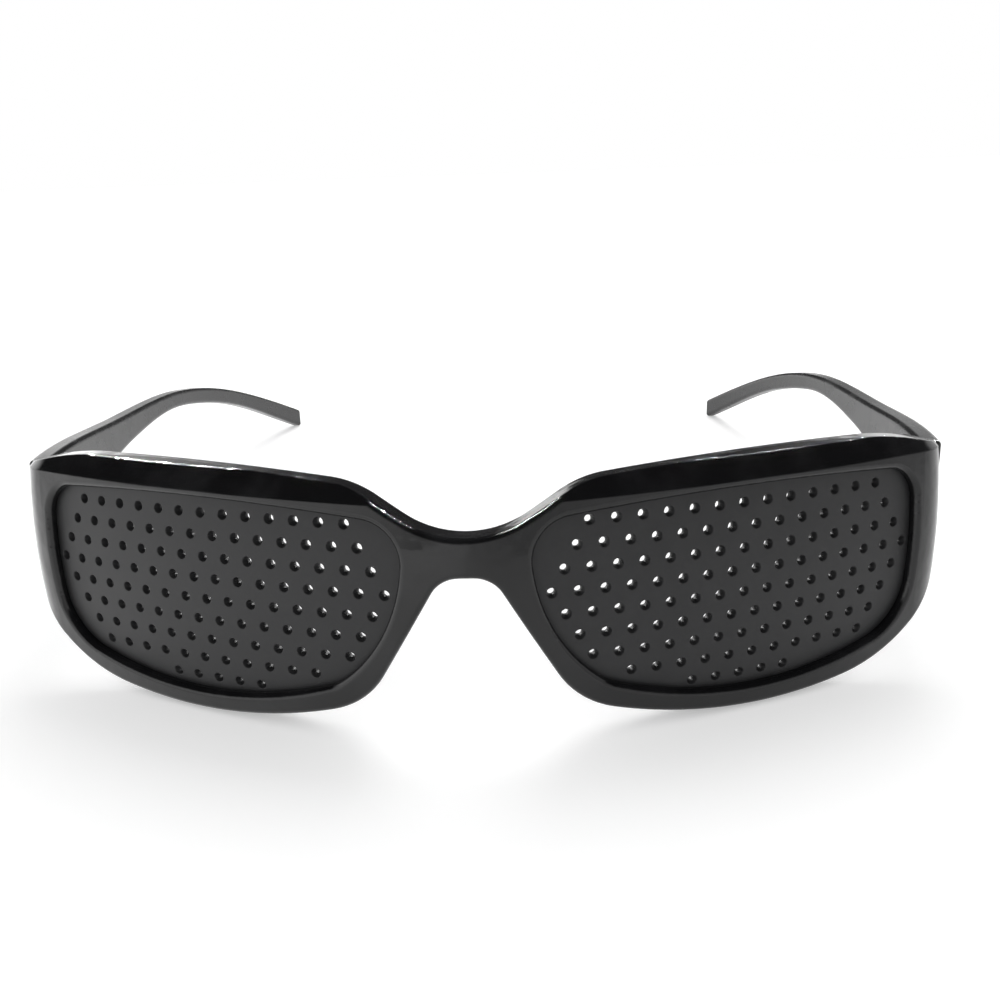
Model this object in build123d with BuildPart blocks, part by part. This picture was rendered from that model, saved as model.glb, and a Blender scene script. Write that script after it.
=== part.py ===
from build123d import *
from math import atan2, cos, degrees, radians, sin, tan
import os

os.makedirs("parts", exist_ok=True)

# Pinhole glasses, in millimetres. Everything is drawn as it is worn: X runs to the right of
# someone who faces the front, Y from the bridge back to the ears, Z up. X = 0 is the plane of
# symmetry, Y = 0 the foremost point of the bridge, Z = 0 the middle row of holes. The last step
# sets the glasses down on a table, on their lower rims and their temple tips.

# Wrap of the front, seen from above: bridge arc, lens arc and corner arc, each tangent to the next,
# and the lens arc as round as the width of the front asks for
front_half_width = 71.76
bridge_radius = 62.0
bridge_turn = 8.3
wrap_turn = 26.0
corner_radius = 9.0
corner_turn = 79.0
bulge_radius = 118.0
front_height_up = 20.0
front_height_down = 24.0

# Thickness of the front, which grows towards the brow
thickness_low = 4.2
thickness_middle = 4.5
thickness_brow = 6.2

# Outline of the front, seen from the front
bridge_top = 7.5
saddle_radius = 16.0
saddle_turn = 32.3
shoulder_run = 4.5
shoulder_radius = 15.0
brow_slope = 6.5
brow_end_run = 15.6
temple_slope_radius = 45.0
temple_slope = 12.0
outline_clear = 0.54
rim_bottom_shift = 0.79
rim_bottom = -21.1
rim_bottom_radius = 71.0
arch_top = 2.1
arch_half_width = 3.45
arch_lean = 59.6
arch_round = 4.4
rim_corner_inner_round = 13.0
rim_corner_outer_round = 22.0

# Bevel along the brow: it starts on a line that rises outwards, with a steep and a shallow face
bevel_start = 11.8
bevel_tilt = 2.1
bevel_rise = 2.85
bevel_depth = 2.3
crest_rise = 0.65
crest_depth = 4.2
bevel_clear = 8.0

# Lens opening, as corners and bulging sides: its inner side stands off the plane of symmetry and its
# outer side off the end of the front, and the heights are measured from the middle of the plate
recess = 1.5
plate_turn = 17.17
bridge_half_width = 9.4
end_width = 6.592
opening_top_inner = 9.1
opening_top_outer = 11.9
opening_top_crown = 11.95
opening_bottom_outer = 11.5
opening_nose_cut = 10.4
opening_bottom_inner = 14.3
opening_bottom = 17.9
opening_nose_set = 2.0
opening_nose = 4.5
opening_side_bulge = 0.8
opening_round_top_inner = 6.0
opening_round_top_outer = 5.0
opening_round_bottom_outer = 10.0
opening_round_bottom_inner = 8.0
opening_crown_x = 2.0

# Pinhole plate and its groove
plate_thickness = 1.4
groove_depth = 0.9
groove_clearance = 0.05
plate_sweep = 24.0
row_inset = 1.4345
row_step = 3.204
row_shift = 0.9845
hole_mouth_radius = 0.75
hole_exit_radius = 0.47
hole_land = 0.5
row_tilt = 1.6
row_counts = (13, 14, 15, 16, 15, 14, 13, 11, 5)
row_start_steps = (1.5, 1.0, 0.5, 0.0, 0.5, 1.0, 1.5, 3.0, 5.5)
middle_row = 3
row_middle_steps = 7.5
hole_overrun = 0.5

# End piece and joint with the temple
joint_gap = 0.15
end_bottom = -5.0
end_taper = 60.0

# Temple
temple_thickness = 3.6
tip_thickness = 2.6
temple_flare_radius = 266.0
temple_close_radius = 234.0
temple_close_turn = 19.0
temple_length = 122.0
root_height = 20.6
root_climb = 10.6
tip_fall = 19.4
lean_rounds = 4
temple_top_shares = ((0.0, 0.951), (0.25, 1.067), (0.51, 1.195), (0.755, 1.04), (1.0, 0.615))
temple_bottom_shares = (
    (0.0, 0.0), (0.16, 0.5), (0.337, 0.87), (0.488, 1.02), (0.586, 1.004), (0.72, 0.9), (1.0, 0.373))

# Hinge
barrel_radius = 1.5
barrel_inset = 1.1
barrel_back = 1.1
barrel_clearance = 0.3
knuckle_height = 2.5
knuckle_gap = 0.08
leaf_thickness = 0.9
front_tongue_length = 5.2
temple_tongue_length = 9.0
tongue_clearance = 0.05
hinge_middle = 5.0
screw_radius = 0.7
screw_clearance = 0.04
screw_head_radius = 1.15
screw_head_height = 0.6
screw_tail = 0.3
slot_width = 0.35
slot_depth = 0.3

# Edge rounds
lip_round = 0.8
rim_round = 0.7
ridge_round = 0.6
ridge_shares = (0.0, 0.25, 0.5, 0.75, 1.0)
temple_round = 0.8
root_round = 0.5

# Overrun of every cutting tool
over = 3.0


def turned(angle):
    """Unit direction in plan that has turned by angle, in degrees, from +X towards +Y."""
    return (cos(radians(angle)), sin(radians(angle)))


def bulge(height):
    """How far the front falls back at a height above or below its middle row."""
    return height ** 2 / (2 * bulge_radius)


# Places that follow from the wrap
bridge_reach = bridge_radius * sin(radians(bridge_turn))
corner_reach = corner_radius * (sin(radians(corner_turn)) - sin(radians(wrap_turn)))
wrap_radius = (front_half_width - bridge_reach - corner_reach) / (
    sin(radians(wrap_turn)) - sin(radians(bridge_turn)))
wrap_centre_x = (bridge_radius - wrap_radius) * sin(radians(bridge_turn))
wrap_centre_y = bridge_radius - (bridge_radius - wrap_radius) * cos(radians(bridge_turn))
corner_centre_x = wrap_centre_x + (wrap_radius - corner_radius) * sin(radians(wrap_turn))
corner_centre_y = wrap_centre_y - (wrap_radius - corner_radius) * cos(radians(wrap_turn))
joint_x = corner_centre_x + corner_radius * sin(radians(corner_turn))
joint_y = corner_centre_y - corner_radius * cos(radians(corner_turn))
plate_x = wrap_centre_x + (wrap_radius - recess) * sin(radians(plate_turn))
plate_y = wrap_centre_y - (wrap_radius - recess) * cos(radians(plate_turn))
opening_inner = (plate_x - bridge_half_width) / cos(radians(plate_turn))
opening_outer = (joint_x - end_width - plate_x) / cos(radians(plate_turn))
outline_half_width = joint_x + outline_clear
rim_bottom_x = plate_x + rim_bottom_shift

# Planes that carry more than one piece
along = turned(corner_turn)
inward = turned(corner_turn + 90)
joint = Plane((joint_x, joint_y, 0), x_dir=(*inward, 0), z_dir=(*along, 0))
axis_inset = temple_thickness + barrel_inset
axis_x = joint_x + barrel_back * along[0] + axis_inset * inward[0]
axis_y = joint_y + barrel_back * along[1] + axis_inset * inward[1]
hinge = Plane((axis_x, axis_y, hinge_middle), x_dir=(*along, 0), z_dir=(0, 0, 1))
plate_face = Plane(
    (plate_x, plate_y, 0),
    x_dir=(*turned(plate_turn), 0),
    z_dir=(sin(radians(plate_turn)), -cos(radians(plate_turn)), 0))
knuckle_step = knuckle_height + knuckle_gap
stack_height = 3 * knuckle_height + 2 * knuckle_gap
depth_reach = joint_y + over


def draw_wrap(setback):
    """Draw the wrap in plan, set back from its front, and return its two ends."""
    lead = Line((-over, setback), (0, setback))
    bridge = JernArc(lead @ 1, (1, 0), bridge_radius - setback, bridge_turn)
    lens = JernArc(bridge @ 1, turned(bridge_turn), wrap_radius - setback, wrap_turn - bridge_turn)
    corner = JernArc(lens @ 1, turned(wrap_turn), corner_radius - setback, corner_turn - wrap_turn)
    tail = Line(corner @ 1, corner @ 1 + Vector(*along) * over)
    return lead @ 0, tail @ 1


def wall_point(x, setback, height):
    """Point of the lens wall at a setback from the front."""
    reach = wrap_radius - bulge(height) - setback
    return (x, wrap_centre_y - (reach ** 2 - (x - wrap_centre_x) ** 2) ** 0.5, height)


def wrap_face(plane, front, back):
    """Face in plan between the wrap set back by front and the wrap set back by back."""
    with BuildSketch(plane) as region:
        with BuildLine():
            front_start, front_end = draw_wrap(front)
            back_start, back_end = draw_wrap(back)
            Line(front_start, back_start)
            Line(front_end, back_end)
        make_face()
    return region.sketch


def draw_opening(grow):
    """Outline of the lens opening about the middle of the plate, grown by grow."""
    with BuildSketch(plate_face) as opening:
        with BuildLine():
            top_inner = (-opening_inner - grow, opening_top_inner + grow)
            top_outer = (opening_outer + grow, opening_top_outer + grow)
            bottom_outer = (opening_outer + grow, -opening_bottom_outer - grow)
            bottom_inner = (opening_nose_cut - opening_inner - grow, -opening_bottom_inner - grow)
            crown = (-opening_crown_x, opening_top_crown + grow)
            side_height = (top_outer[1] + bottom_outer[1]) / 2
            side = (opening_outer + opening_side_bulge + grow, side_height)
            ThreePointArc(top_inner, crown, top_outer)
            ThreePointArc(top_outer, side, bottom_outer)
            ThreePointArc(bottom_outer, (0, -opening_bottom - grow), bottom_inner)
            nose_side = (opening_nose_set - opening_inner - grow, -opening_nose)
            ThreePointArc(bottom_inner, nose_side, top_inner)
        make_face()
        corners = (
            (top_inner, opening_round_top_inner), (top_outer, opening_round_top_outer),
            (bottom_outer, opening_round_bottom_outer), (bottom_inner, opening_round_bottom_inner))
        for corner, radius in corners:
            fillet(opening.vertices().sort_by_distance(corner)[0], radius=radius + grow)
    return opening.sketch


def curved_plate(outline, front, back):
    """Part of the lens wall between two setbacks that lies inside an outline."""
    start = plate_turn - plate_sweep / 2
    radial = Plane(
        (wrap_centre_x, wrap_centre_y, 0),
        x_dir=(sin(radians(start)), -cos(radians(start)), 0),
        z_dir=(-cos(radians(start)), -sin(radians(start)), 0))
    low = -front_height_down
    high = front_height_up
    with BuildPart() as plate:
        with BuildSketch(radial):
            with BuildLine():
                for setback in (front, back):
                    reach = wrap_radius - setback
                    ThreePointArc((reach - bulge(low), low), (reach, 0), (reach - bulge(high), high))
                for height in (low, high):
                    reach = wrap_radius - bulge(height)
                    Line((reach - front, height), (reach - back, height))
            make_face()
        revolve(axis=Axis((wrap_centre_x, wrap_centre_y, 0), (0, 0, 1)), revolution_arc=plate_sweep)
        extrude(outline, amount=depth_reach, both=True, mode=Mode.INTERSECT)
    return plate.part


opening_outline = draw_opening(0)
plate_outline = draw_opening(groove_depth)
groove_outline = draw_opening(groove_depth + groove_clearance)
groove = curved_plate(
    groove_outline, recess - groove_clearance, recess + plate_thickness + groove_clearance)
levels = (
    (-front_height_down, thickness_low), (0, thickness_middle), (front_height_up, thickness_brow))
slab_faces = [
    wrap_face(Plane.XY.offset(height), bulge(height), bulge(height) + thickness)
    for height, thickness in levels]

# The bevel is the space in front of a steep face and a shallow face that climb over the brow
bevel_base = Plane(
    (0, 0, bevel_start),
    x_dir=(cos(radians(bevel_tilt)), 0, sin(radians(bevel_tilt))),
    z_dir=(-sin(radians(bevel_tilt)), 0, cos(radians(bevel_tilt))))
brow_fall = bulge(bevel_start + bevel_rise)
steep = degrees(atan2(bevel_rise, bevel_depth))
shallow = degrees(atan2(crest_rise, crest_depth))
ridge_reach = ridge_round * tan(radians((steep - shallow) / 2))
bevel_steps = [(-bevel_rise / 2, -bevel_depth / 2)]
for share in ridge_shares:
    slope = radians(steep + (shallow - steep) * share)
    centre_rise = bevel_rise - ridge_reach * sin(radians(steep)) - ridge_round * cos(radians(steep))
    centre_depth = bevel_depth - ridge_reach * cos(radians(steep)) + ridge_round * sin(radians(steep))
    bevel_steps.append(
        (centre_rise + ridge_round * cos(slope), centre_depth - ridge_round * sin(slope)))
bevel_steps.append((bevel_rise + crest_rise, bevel_depth + crest_depth))
bevel_faces = [
    wrap_face(bevel_base.offset(rise), -bevel_clear, brow_fall + depth)
    for rise, depth in bevel_steps]
with BuildPart() as bevel:
    loft(sections=bevel_faces, ruled=True)

# Right half of the front, and from it the whole front
with BuildPart() as half_front:
    loft(sections=slab_faces)
    with BuildSketch(Plane.XZ.offset(over)) as front_outline:
        with BuildLine():
            saddle = JernArc((0, bridge_top), (1, 0), saddle_radius, saddle_turn)
            shoulder = Line(saddle @ 1, saddle @ 1 + Vector(*turned(saddle_turn)) * shoulder_run)
            turn = JernArc(
                shoulder @ 1, turned(saddle_turn), shoulder_radius, brow_slope - saddle_turn)
            brow_run = outline_half_width - brow_end_run - (turn @ 1).X
            brow_radius = brow_run / sin(radians(brow_slope))
            brow = JernArc(turn @ 1, turned(brow_slope), brow_radius, -brow_slope)
            end = JernArc(brow @ 1, (1, 0), temple_slope_radius, -temple_slope)
            fall = (outline_half_width - (end @ 1).X) * tan(radians(temple_slope))
            nose_run = (arch_top + front_height_down) / tan(radians(arch_lean))
            Polyline(
                end @ 1,
                (outline_half_width, (end @ 1).Y - fall),
                (outline_half_width, -front_height_down),
                (arch_half_width + nose_run, -front_height_down),
                (arch_half_width, arch_top),
                (-over, arch_top),
                (-over, bridge_top),
                (0, bridge_top))
        make_face()
        with Locations((rim_bottom_x, rim_bottom + rim_bottom_radius)):
            Circle(rim_bottom_radius, mode=Mode.INTERSECT)
        rounds = (
            ((outline_half_width, rim_bottom), rim_corner_outer_round),
            ((arch_half_width + nose_run, rim_bottom), rim_corner_inner_round),
            ((arch_half_width, arch_top), arch_round))
        for corner, radius in rounds:
            fillet(front_outline.vertices().sort_by_distance(corner)[0], radius=radius)
    extrude(amount=-depth_reach - over, mode=Mode.INTERSECT)
    with BuildSketch(Plane.YZ.offset(rim_bottom_x)):
        drop = end_bottom + front_height_down
        Polygon(
            (joint_y, end_bottom),
            (joint_y - drop / tan(radians(end_taper)), -front_height_down),
            (depth_reach, -front_height_down),
            (depth_reach, end_bottom),
            align=None)
    extrude(amount=outline_half_width, mode=Mode.SUBTRACT)
    split(bisect_by=joint, keep=Keep.BOTTOM)
    rim_points = (
        wall_point(rim_bottom_x, 0, (brow @ 0.5).Y),
        wall_point(rim_bottom_x, 0, rim_bottom),
        wall_point(rim_bottom_x, thickness_brow, (brow @ 0.5).Y),
        wall_point(rim_bottom_x - bridge_half_width, thickness_low, rim_bottom))
    for point in rim_points:
        fillet(half_front.edges().sort_by_distance(point)[0], radius=rim_round)
    add(bevel.part, mode=Mode.SUBTRACT)
    split(bisect_by=Plane.YZ, keep=Keep.TOP)
    extrude(opening_outline, amount=depth_reach, both=True, mode=Mode.SUBTRACT)
    lip_point = wall_point(rim_bottom_x, 0, -opening_bottom)
    fillet(half_front.edges().sort_by_distance(lip_point)[0], radius=lip_round)
    add(groove, mode=Mode.SUBTRACT)

    pocket_height = stack_height + screw_head_height + screw_tail + 2 * barrel_clearance
    pocket_middle = (screw_head_height - screw_tail) / 2
    with Locations(hinge):
        with Locations((0, 0, pocket_middle)):
            Cylinder(barrel_radius + barrel_clearance, pocket_height, mode=Mode.SUBTRACT)
        with Locations((-front_tongue_length - tongue_clearance, -barrel_radius - tongue_clearance, 0)):
            Box(
                front_tongue_length,
                leaf_thickness + 2 * tongue_clearance,
                stack_height + 2 * tongue_clearance,
                align=(Align.MIN, Align.MIN, Align.CENTER),
                mode=Mode.SUBTRACT)
with BuildPart() as front_frame:
    add(half_front.part)
    mirror(about=Plane.YZ)

# Pinhole plate: staggered rows of countersunk holes, each one square to the curved plate
hole_pitch = (opening_inner + opening_outer - 2 * row_inset) / (max(row_counts) - 1)
row_middle = (opening_outer - opening_inner) / 2 + row_shift
sink_slope = (hole_mouth_radius - hole_exit_radius) / (plate_thickness - hole_land)
hole_places = []
for row, count in enumerate(row_counts):
    drop = (middle_row - row) * row_step
    for step in range(count):
        run = (row_start_steps[row] + step - row_middle_steps) * hole_pitch + row_middle
        width = run * cos(radians(row_tilt)) - drop * sin(radians(row_tilt))
        height = run * sin(radians(row_tilt)) + drop * cos(radians(row_tilt))
        face_radius = wrap_radius - recess - bulge(height)
        angle = plate_turn + degrees(width / face_radius)
        climb = height / bulge_radius
        outward = (
            sin(radians(angle)) * cos(climb), -cos(radians(angle)) * cos(climb), sin(climb))
        place = (
            wrap_centre_x + face_radius * sin(radians(angle)),
            wrap_centre_y - face_radius * cos(radians(angle)),
            height)
        hole_places.append(Plane(place, z_dir=outward))
with BuildPart() as lens:
    add(curved_plate(plate_outline, recess, recess + plate_thickness))
    with Locations(*hole_places):
        Cylinder(hole_exit_radius, 2 * (plate_thickness + hole_overrun), mode=Mode.SUBTRACT)
        with Locations((0, 0, (hole_overrun - plate_thickness) / 2)):
            Cone(
                hole_mouth_radius - sink_slope * plate_thickness,
                hole_mouth_radius + sink_slope * hole_overrun,
                plate_thickness + hole_overrun,
                mode=Mode.SUBTRACT)

# Temple: a bowed band in plan, cut to its profile from the side
with BuildPart() as temple:
    with BuildSketch(Plane.XY.offset(-front_height_down)):
        with BuildLine():
            start = Vector(joint_x, joint_y)
            inner_start = start + Vector(*inward) * temple_thickness
            flare = JernArc(start, along, temple_flare_radius, 90 - corner_turn)
            close = JernArc(flare @ 1, (0, 1), temple_close_radius, temple_close_turn)
            inner_flare = JernArc(
                inner_start, along, temple_flare_radius - temple_thickness, 90 - corner_turn)
            tip = close @ 1 + Vector(*turned(180 + temple_close_turn)) * tip_thickness
            inner_close = TangentArc(inner_flare @ 1, tip, tangent=(0, 1))
            Line(start, inner_start)
            Line(close @ 1, tip)
        make_face()
    extrude(amount=front_height_down + 2 * front_height_up)
    with BuildSketch(Plane.YZ.offset(rim_bottom_x)):
        with BuildLine():
            tops = [
                (joint_y + share * temple_length, end_bottom + rise * root_height)
                for share, rise in temple_top_shares]
            bottoms = [
                (joint_y + share * temple_length, end_bottom + rise * root_height)
                for share, rise in temple_bottom_shares]
            Spline(*tops, tangents=(turned(root_climb), turned(-tip_fall)))
            Spline(*bottoms, tangents=((1, 0), turned(-tip_fall)))
            Line(tops[-1], bottoms[-1])
            Polyline(
                tops[0],
                (joint_y - over, tops[0][1]),
                (joint_y - over, bottoms[0][1]),
                bottoms[0])
        make_face()
    extrude(amount=outline_half_width, mode=Mode.INTERSECT)
    split(bisect_by=joint.offset(joint_gap), keep=Keep.TOP)
    middle_y = joint_y + temple_top_shares[2][0] * temple_length
    middle_top = end_bottom + temple_top_shares[2][1] * root_height
    middle_bottom = end_bottom + temple_bottom_shares[3][1] * root_height
    swing = (temple_close_radius ** 2 - (middle_y - (close @ 0).Y) ** 2) ** 0.5 - temple_close_radius
    outer_x = (close @ 0).X + swing
    inner_x = outer_x - (temple_thickness + tip_thickness) / 2
    for x in (outer_x, inner_x):
        for height in (middle_top, middle_bottom):
            point = (x, middle_y, height)
            fillet(temple.edges().sort_by_distance(point)[0], radius=temple_round)
    root_point = (joint_x, joint_y, end_bottom + root_height / 2)
    fillet(temple.edges().filter_by(Axis.Z).sort_by_distance(root_point)[0], radius=root_round)
    with Locations(hinge):
        with Locations((0, 0, pocket_middle)):
            Cylinder(barrel_radius + barrel_clearance, pocket_height, mode=Mode.SUBTRACT)
        with Locations((0, -barrel_radius - tongue_clearance, 0)):
            Box(
                temple_tongue_length + tongue_clearance,
                leaf_thickness + 2 * tongue_clearance,
                stack_height + 2 * tongue_clearance,
                align=(Align.MIN, Align.MIN, Align.CENTER),
                mode=Mode.SUBTRACT)

# Hinge leaves: flat tongues with knuckles, two on the front leaf and one on the temple leaf
with BuildPart() as front_leaf:
    tongue_start = barrel_radius + barrel_clearance
    with Locations(hinge):
        with Locations((-front_tongue_length, -barrel_radius, 0)):
            Box(
                front_tongue_length - tongue_start,
                leaf_thickness,
                stack_height,
                align=(Align.MIN, Align.MIN, Align.CENTER))
        for side in (-1, 1):
            with Locations((0, 0, side * knuckle_step)):
                Cylinder(barrel_radius, knuckle_height)
                with Locations((-tongue_start, -barrel_radius, 0)):
                    Box(
                        tongue_start,
                        leaf_thickness,
                        knuckle_height,
                        align=(Align.MIN, Align.MIN, Align.CENTER))
        Cylinder(screw_radius + screw_clearance, stack_height, mode=Mode.SUBTRACT)
with BuildPart() as temple_leaf:
    with Locations(hinge):
        with Locations((tongue_start, -barrel_radius, 0)):
            Box(
                temple_tongue_length - tongue_start,
                leaf_thickness,
                stack_height,
                align=(Align.MIN, Align.MIN, Align.CENTER))
        Cylinder(barrel_radius, knuckle_height)
        with Locations((0, -barrel_radius, 0)):
            Box(
                tongue_start,
                leaf_thickness,
                knuckle_height,
                align=(Align.MIN, Align.MIN, Align.CENTER))
        Cylinder(screw_radius + screw_clearance, stack_height, mode=Mode.SUBTRACT)

# Hinge screw: a plain shank with a slotted head that rests on the top knuckle
with BuildPart() as screw:
    with Locations(hinge):
        with Locations((0, 0, -stack_height / 2 - screw_tail)):
            Cylinder(
                screw_radius,
                stack_height + screw_tail + screw_head_height,
                align=(Align.CENTER, Align.CENTER, Align.MIN))
        with Locations((0, 0, stack_height / 2)):
            Cylinder(
                screw_head_radius,
                screw_head_height,
                align=(Align.CENTER, Align.CENTER, Align.MIN))
        with Locations((0, 0, stack_height / 2 + screw_head_height - slot_depth)):
            Box(
                2 * screw_head_radius,
                slot_width,
                slot_depth,
                align=(Align.CENTER, Align.CENTER, Align.MIN),
                mode=Mode.SUBTRACT)

# Set-down on a table: the glasses lean back until the lower rims and the temple tips both touch
lean = degrees(atan2(bottoms[-1][1] - rim_bottom, temple_length))
for _ in range(lean_rounds):
    settle = Rotation(-lean, 0, 0)
    front_box = front_frame.part.moved(settle).bounding_box()
    temple_box = temple.part.moved(settle).bounding_box()
    lean += degrees((temple_box.min.Z - front_box.min.Z) / temple_length)
table_y = (front_box.min.Y + temple_box.max.Y) / 2
table_z = min(front_box.min.Z, temple_box.min.Z)
set_down = Location((0, -table_y, -table_z)) * Rotation(-lean, 0, 0)
pieces = {"front_frame": front_frame.part}
sided = {
    "pinhole_lens": lens.part,
    "temple": temple.part,
    "front_hinge_leaf": front_leaf.part,
    "temple_hinge_leaf": temple_leaf.part,
    "hinge_screw": screw.part}
for name, piece in sided.items():
    pieces[name + "_right"] = piece
    pieces[name + "_left"] = mirror(piece, about=Plane.YZ)
for name, piece in pieces.items():
    placed = piece.solid().moved(set_down)
    placed.label = name
    export_step(placed, "parts/" + name + ".step")
    print(name, round(placed.volume, 3), placed.is_valid)
print("holes", len(hole_places), "faces of a pinhole plate", len(lens.part.faces()))
print("lean", lean, "table", table_y, table_z, "axis", axis_x, axis_y)
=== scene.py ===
# %% [markdown]
# Pinhole glasses, as a lesson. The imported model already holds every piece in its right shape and
# place, so this file only gives the pieces their finishes and sets up floor, light and camera.

# %% Load the frame
import math

import bpy
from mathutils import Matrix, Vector

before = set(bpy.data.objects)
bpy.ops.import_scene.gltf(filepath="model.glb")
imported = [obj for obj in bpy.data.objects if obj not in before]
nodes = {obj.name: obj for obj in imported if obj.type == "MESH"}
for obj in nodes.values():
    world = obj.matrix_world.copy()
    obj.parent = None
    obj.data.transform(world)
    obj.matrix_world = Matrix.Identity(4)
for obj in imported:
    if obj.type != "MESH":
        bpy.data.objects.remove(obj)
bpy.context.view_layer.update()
MM = 0.001
print("pieces:", ", ".join(sorted(nodes)))


# %% [markdown]
# A finish is a small sum of noises, masks and colours. Drawing that sum as loose nodes is long and
# hard to read, so one class wraps a socket and lets plain Python operators add the Math nodes.

# %% A socket that can be used in sums
BEVEL_RAYS = 4
EDGE_FAINT = 0.02
EDGE_FULL = 0.2


class Wire:
    def __init__(self, finish, socket):
        self.finish = finish
        self.socket = socket

    def math(self, operation, *values):
        sockets = dict(enumerate(values))
        return self.finish.node("ShaderNodeMath", {"operation": operation}, sockets)

    def __add__(self, other):
        return self.math("ADD", self, other)

    def __sub__(self, other):
        return self.math("SUBTRACT", self, other)

    def __mul__(self, other):
        return self.math("MULTIPLY", self, other)

    def __rsub__(self, other):
        return self.math("SUBTRACT", other, self)

    __radd__ = __add__
    __rmul__ = __mul__

    def size(self):
        return self.math("ABSOLUTE", self)

    def between(self, low, high, new_low=0.0, new_high=1.0):
        """Stretch the range low to high onto a new range, with smooth ends."""
        settings = {"interpolation_type": "SMOOTHSTEP"}
        values = {0: self, 1: low, 2: high, 3: new_low, 4: new_high}
        return self.finish.node("ShaderNodeMapRange", settings, values)


class Finish:
    def __init__(self, owner):
        self.owner = owner
        owner.use_nodes = True
        self.tree = owner.node_tree
        self.tree.nodes.clear()

    def node(self, kind, settings=None, values=None, output=0):
        """Add a node: settings first, then numbers or wires for its sockets."""
        made = self.tree.nodes.new(kind)
        for key, value in (settings or {}).items():
            setattr(made, key, value)
        for key, value in (values or {}).items():
            if isinstance(value, Wire):
                self.tree.links.new(value.socket, made.inputs[key])
            else:
                made.inputs[key].default_value = value
        return Wire(self, made.outputs[output]) if len(made.outputs) else None

    def noise(self, place, size, detail=2.0, roughness=0.5):
        """Noise whose blotches are about size metres wide."""
        values = {"Vector": place, "Scale": 1 / size, "Detail": detail, "Roughness": roughness}
        return self.node("ShaderNodeTexNoise", {"noise_dimensions": "3D"}, values)

    def place(self):
        return self.node("ShaderNodeTexCoord", output="Object")

    def apart(self, vector, axis):
        """One number out of a vector."""
        return self.node("ShaderNodeSeparateXYZ", None, {"Vector": vector}, output=axis)

    def soft_edge(self, radius):
        """The surface direction, with every edge rounded off over radius metres."""
        return self.node("ShaderNodeBevel", {"samples": BEVEL_RAYS}, {"Radius": radius})

    def edge_mask(self, soft):
        """One on sharp edges and zero on the faces between them."""
        true = self.node("ShaderNodeNewGeometry", output="True Normal")
        same = self.node(
            "ShaderNodeVectorMath", {"operation": "DOT_PRODUCT"}, {0: soft, 1: true}, output="Value")
        return (1 - same).between(EDGE_FAINT, EDGE_FULL)

    def blend(self, amount, first, second):
        """Mix two colours by amount."""
        settings = {"data_type": "RGBA", "blend_type": "MIX"}
        values = {0: amount, 6: (*first, 1), 7: (*second, 1)}
        return self.node("ShaderNodeMix", settings, values, output=2)

    def ray(self, kind):
        """One for rays of this kind, zero for all others."""
        return self.node("ShaderNodeLightPath", output=kind)

    def bump(self, height, depth, base=None):
        """Turn a height from 0 to 1 into a relief of depth metres, on a softened base if given."""
        values = {"Strength": 1.0, "Distance": depth, "Height": height}
        if base is not None:
            values["Normal"] = base
        return self.node("ShaderNodeBump", None, values)

    def close(self, values):
        """Finish the tree with one surface shader."""
        surface = self.node("ShaderNodeBsdfPrincipled", None, values)
        self.node("ShaderNodeOutputMaterial", None, {"Surface": surface})
        return self.owner


# %% [markdown]
# The front and the temples are moulded in one polished black plastic. Black gloss has almost no
# colour of its own: what is seen is the room in its surface, so the roughness and a very shallow
# waviness from the mould do most of the work, with a little dust and handling haze. The edges are
# rounded off over a third of a millimetre, and scuffed there in patches.

# %% Polished black plastic
PLASTIC_IOR = 1.43
POLISH_WAVE = 2.6 * MM
POLISH_GRAIN = 0.25 * MM
HAZE_SIZE = 9.0 * MM
DUST_SIZE = 0.5 * MM
SCUFF_SIZE = 1.4 * MM
EDGE_RADIUS = 0.3 * MM
GRAIN_SHARE = 0.004
HAZE_PALENESS = 0.6
DUST_ROUGHNESS = 0.05
SCUFF_ROUGHNESS = 0.12


def polished_plastic(name, smooth, hazy, wave_depth, dark, pale):
    finish = Finish(bpy.data.materials.new(name))
    place = finish.place()
    soft = finish.soft_edge(EDGE_RADIUS)
    scuffs = finish.noise(place, SCUFF_SIZE, detail=3.0, roughness=0.7).between(0.45, 0.65)
    worn = finish.edge_mask(soft) * scuffs
    wave = finish.noise(place, POLISH_WAVE, detail=1.0)
    grain = finish.noise(place, POLISH_GRAIN, detail=3.0)
    haze = finish.noise(place, HAZE_SIZE, detail=4.0, roughness=0.6).between(0.4, 0.7)
    dust = finish.noise(place, DUST_SIZE, detail=0.0).between(0.76, 0.82)
    colour = finish.blend(haze * HAZE_PALENESS + worn, dark, pale)
    gloss = haze * (hazy - smooth) + smooth
    return finish.close({
        "Base Color": colour,
        "Roughness": gloss + dust * DUST_ROUGHNESS + worn * SCUFF_ROUGHNESS,
        "IOR": PLASTIC_IOR,
        "Normal": finish.bump(wave + grain * GRAIN_SHARE, wave_depth, soft),
    })


frame_plastic = polished_plastic(
    "polished_black_front", smooth=0.07, hazy=0.13, wave_depth=0.05 * MM,
    dark=(0.005, 0.005, 0.0055), pale=(0.014, 0.014, 0.015))
# The temples take a paler copy of the same black: the raised colour is painted light, standing in
# for the brightness that their gloss catches.
temple_plastic = polished_plastic(
    "polished_black_temple", smooth=0.22, hazy=0.32, wave_depth=0.008 * MM,
    dark=(0.016, 0.016, 0.0165), pale=(0.026, 0.026, 0.027))
print("front finish nodes:", len(frame_plastic.node_tree.nodes))


# %% [markdown]
# The pinhole plates are the same black plastic with a satin face: the mould is lightly etched, so
# that the plate doesn't glare in front of the eye. A fine grain in the relief and an even, higher
# roughness give that dull grey sheen.

# %% Satin black plate
SATIN_GRAIN = 0.16 * MM
SATIN_CLOUD = 5.0 * MM
SATIN_RELIEF = 0.006 * MM
SATIN_ROUGHNESS = 0.46
SATIN_DARK = (0.017, 0.017, 0.018)
SATIN_PALE = (0.027, 0.027, 0.028)
HOLE_SOFTNESS = 0.22 * MM


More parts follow.
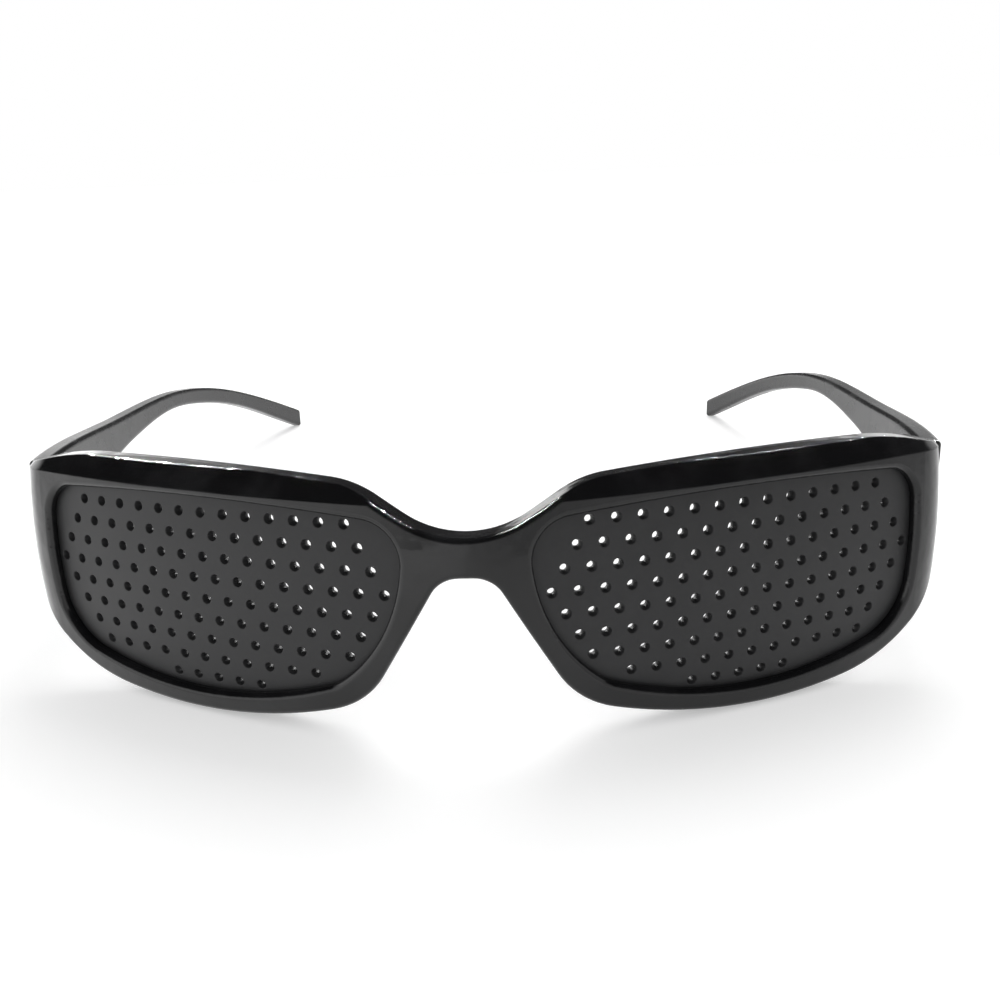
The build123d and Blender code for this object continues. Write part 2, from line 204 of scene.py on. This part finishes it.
def satin_plate(name):
    finish = Finish(bpy.data.materials.new(name))
    place = finish.place()
    soft = finish.soft_edge(HOLE_SOFTNESS)
    worn = finish.edge_mask(soft)
    grain = finish.noise(place, SATIN_GRAIN, detail=2.0)
    cloud = finish.noise(place, SATIN_CLOUD, detail=3.0, roughness=0.6).between(0.35, 0.7)
    colour = finish.blend(cloud * 0.7 + worn * 0.3, SATIN_DARK, SATIN_PALE)
    return finish.close({
        "Base Color": colour,
        "Roughness": cloud * 0.06 + SATIN_ROUGHNESS - worn * 0.1,
        "IOR": PLASTIC_IOR,
        "Normal": finish.bump(grain, SATIN_RELIEF, soft),
    })


plate_plastic = satin_plate("satin_black_plate")
print("plate finish nodes:", len(plate_plastic.node_tree.nodes))


# %% [markdown]
# The hinge leaves are stamped steel and the screws are plated. Rolled steel keeps fine lines along
# one direction, so its noise is squeezed across and drawn out along the leaf.

# %% Hinge metals
BRUSH_LINE = 0.05 * MM
BRUSH_DRAW = 20.0
WEAR_SIZE = 0.8 * MM


def hinge_metal(name, colour_low, colour_high, roughness, line_depth):
    finish = Finish(bpy.data.materials.new(name))
    place = finish.place()
    squeezed = finish.node(
        "ShaderNodeMapping", {"vector_type": "POINT"},
        {"Vector": place, "Scale": (1.0, 1.0 / BRUSH_DRAW, 1.0)})
    lines = finish.noise(squeezed, BRUSH_LINE, detail=2.0)
    wear = finish.noise(place, WEAR_SIZE, detail=3.0).between(0.4, 0.65)
    return finish.close({
        "Base Color": finish.blend(wear, colour_low, colour_high),
        "Metallic": 1.0,
        "Roughness": wear * 0.12 + lines * 0.08 + roughness,
        "Normal": finish.bump(lines, line_depth),
    })


leaf_metal = hinge_metal(
    "brushed_hinge_steel", colour_low=(0.42, 0.42, 0.43), colour_high=(0.6, 0.6, 0.6),
    roughness=0.26, line_depth=0.004 * MM)
screw_metal = hinge_metal(
    "plated_screw", colour_low=(0.55, 0.55, 0.57), colour_high=(0.72, 0.72, 0.73),
    roughness=0.12, line_depth=0.001 * MM)
print("hinge finishes:", leaf_metal.name, "and", screw_metal.name)


# %% [markdown]
# Each finish goes on the pieces that are made of it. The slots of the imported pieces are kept, and
# only the material in them is changed.

# %% Give each piece its finish
finishes = {
    "front_frame": frame_plastic,
    "pinhole_lens": plate_plastic,
    "temple_hinge_leaf": leaf_metal,
    "front_hinge_leaf": leaf_metal,
    "hinge_screw": screw_metal,
    "temple": temple_plastic,
}
for name, piece in nodes.items():
    family = next(key for key in finishes if name.startswith(key))
    for slot in piece.material_slots:
        slot.material = finishes[family]
    print(name, "gets", finishes[family].name)


# %% [markdown]
# The photograph is a product shot on white. The floor is a real pale surface, so it takes the soft
# shadow under the rims, and a share of plain white light in it lifts it to the white of the paper.
# Far off, where the lamps no longer reach, that share grows, so the horizon doesn't show. In what
# the gloss mirrors, the floor glows on its own, stronger on the left than on the right: painted
# light from the left, which brightens the left end and the left plate.

# %% Floor
FLOOR_HALF = 3.0
FLOOR_COLOUR = (0.82, 0.82, 0.82, 1)
WHITE = (1, 1, 1, 1)
FLOOR_LIFT = 0.35
FAR_LIFT = 0.8
FAR_START = 0.3
FAR_END = 1.2
PAINTED_GLOW_LEFT_X = -0.15
PAINTED_GLOW_RIGHT_X = 0.05
PAINTED_GLOW_LEFT = 0.95
PAINTED_GLOW_RIGHT = 0.35
floor_mesh = bpy.data.meshes.new("floor")
floor_mesh.from_pydata(
    [(-FLOOR_HALF, -FLOOR_HALF, 0), (FLOOR_HALF, -FLOOR_HALF, 0),
     (FLOOR_HALF, FLOOR_HALF, 0), (-FLOOR_HALF, FLOOR_HALF, 0)], [], [(0, 1, 2, 3)])
floor = bpy.data.objects.new("floor", floor_mesh)
bpy.context.scene.collection.objects.link(floor)
paper = Finish(bpy.data.materials.new("white_paper"))
diffuse = paper.node("ShaderNodeBsdfDiffuse", None, {"Color": FLOOR_COLOUR})
distance = paper.node(
    "ShaderNodeVectorMath", {"operation": "LENGTH"}, {0: paper.place()}, output="Value")
far = distance.between(FAR_START, FAR_END, FLOOR_LIFT, FAR_LIFT)
straight = paper.ray("Is Camera Ray") + paper.ray("Is Transmission Ray")
# Glow seen only in gloss, stronger on the left: painted light from the left.
painted_gloss_glow = paper.apart(paper.place(), "X").between(
    PAINTED_GLOW_LEFT_X, PAINTED_GLOW_RIGHT_X, PAINTED_GLOW_LEFT, PAINTED_GLOW_RIGHT)
seen = straight * far + paper.ray("Is Glossy Ray") * painted_gloss_glow
glow = paper.node("ShaderNodeEmission", None, {"Color": WHITE, "Strength": seen})
both = paper.node("ShaderNodeAddShader", None, {0: diffuse, 1: glow})
paper.node("ShaderNodeOutputMaterial", None, {"Surface": both})
floor_mesh.materials.append(paper.owner)
print("floor", 2 * FLOOR_HALF, "m wide")


# %% [markdown]
# Black gloss shows the room, so the room is painted for it. Bright walls at both sides light up the
# wrapped ends, a paler one in front gives the face its grey, and the wall behind and the roof are
# dark, so that the bevel of the brow, its crest and the top of the bridge stay black.

# %% World
WALL_TOP = 0.28
ROOF_START = 0.48
ROOF_LEVEL = 0.03
SIDE_LEVEL = 1.3
SIDE_TILT = 0.5
SIDE_START = 0.22
SIDE_FULL = 0.6
FRONT_END = -0.3
FRONT_LEVEL = 0.8
BACK_START = 0.1
BACK_LEVEL = 0.06
FILL_LEVEL = 0.72
world = bpy.data.worlds.new("studio")
bpy.context.scene.world = world
room = Finish(world)
direction = room.node("ShaderNodeTexCoord", output="Generated")
across = room.apart(direction, "X")
back = room.apart(direction, "Y")
height = room.apart(direction, "Z")
ends = back.between(FRONT_END, BACK_START, FRONT_LEVEL, BACK_LEVEL)
sides = SIDE_LEVEL - across * SIDE_TILT
around = across.size().between(SIDE_START, SIDE_FULL) * (sides - ends) + ends
walls = height.between(WALL_TOP, ROOF_START) * (ROOF_LEVEL - around) + around
shiny = room.ray("Is Glossy Ray") + room.ray("Is Transmission Ray")
plain = 1 - room.ray("Is Camera Ray") - shiny
strength = room.ray("Is Camera Ray") + shiny * walls + plain * FILL_LEVEL
background = room.node("ShaderNodeBackground", None, {"Color": WHITE, "Strength": strength})
room.node("ShaderNodeOutputWorld", None, {"Surface": background})
print("world nodes:", len(world.node_tree.nodes))


# %% [markdown]
# One large soft lamp behind and above throws the pale shadow in front of the rims. On each side a
# row of small lamps only shows in gloss: it strings dots of light along the ridge of the brow and
# on the rounded lips of the openings, unevenly, because the moulding is a little wavy.

# %% Lamps
SOFTBOX_PLACE = Vector((0.1, 0.55, 0.9))
SOFTBOX_SIZE = 0.6
SOFTBOX_POWER = 4.5
SPARKLE_COUNT = 8
SPARKLE_INNER = Vector((0.3, 0.34, 0.89))
SPARKLE_OUTER = Vector((0.72, 0.5, 0.55))
SPARKLE_SCATTER = 0.06
SPARKLE_SIZE = 0.012
SPARKLE_POWER = 3.5
GOLDEN = (math.sqrt(5) - 1) / 2


def hang_lamp(name, place, size, power):
    data = bpy.data.lights.new(name, "AREA")
    data.shape = "SQUARE"
    data.size = size
    data.energy = power
    lamp = bpy.data.objects.new(name, data)
    lamp.location = place
    lamp.rotation_euler = (-place).to_track_quat("-Z", "Y").to_euler()
    bpy.context.scene.collection.objects.link(lamp)
    print(name, "at", tuple(place))
    return lamp


softbox = hang_lamp("softbox", SOFTBOX_PLACE, SOFTBOX_SIZE, SOFTBOX_POWER)
softbox.visible_glossy = False
for number in range(SPARKLE_COUNT):
    place = SPARKLE_INNER.lerp(SPARKLE_OUTER, (number + 0.5) / SPARKLE_COUNT)
    place.y += (number * GOLDEN % 1 - 0.5) * SPARKLE_SCATTER
    for side in (-1, 1):
        aside = Vector((side * place.x, place.y, place.z))
        sparkle = hang_lamp("sparkle", aside, SPARKLE_SIZE, SPARKLE_POWER)
        sparkle.visible_diffuse = False


# %% [markdown]
# The camera stands close and looks down a little, with the wide lens that the photograph's strong
# perspective asks for. Its place and angles were worked out from the rows of pinholes.

# %% Camera
CAMERA_PLACE = Vector((8.76, -162.74, 75.99)) * MM
CAMERA_ANGLES = (66.393, 1.937, 1.628)
CAMERA_LENS = 28.66
CAMERA_NEAR = 5.0 * MM
camera_data = bpy.data.cameras.new("camera")
camera_data.lens = CAMERA_LENS
camera_data.clip_start = CAMERA_NEAR
camera = bpy.data.objects.new("camera", camera_data)
camera.location = CAMERA_PLACE
camera.rotation_euler = [math.radians(angle) for angle in CAMERA_ANGLES]
bpy.context.scene.collection.objects.link(camera)
bpy.context.scene.camera = camera
bpy.context.scene.view_settings.view_transform = "Standard"
print("camera at", [round(value, 4) for value in camera.location])
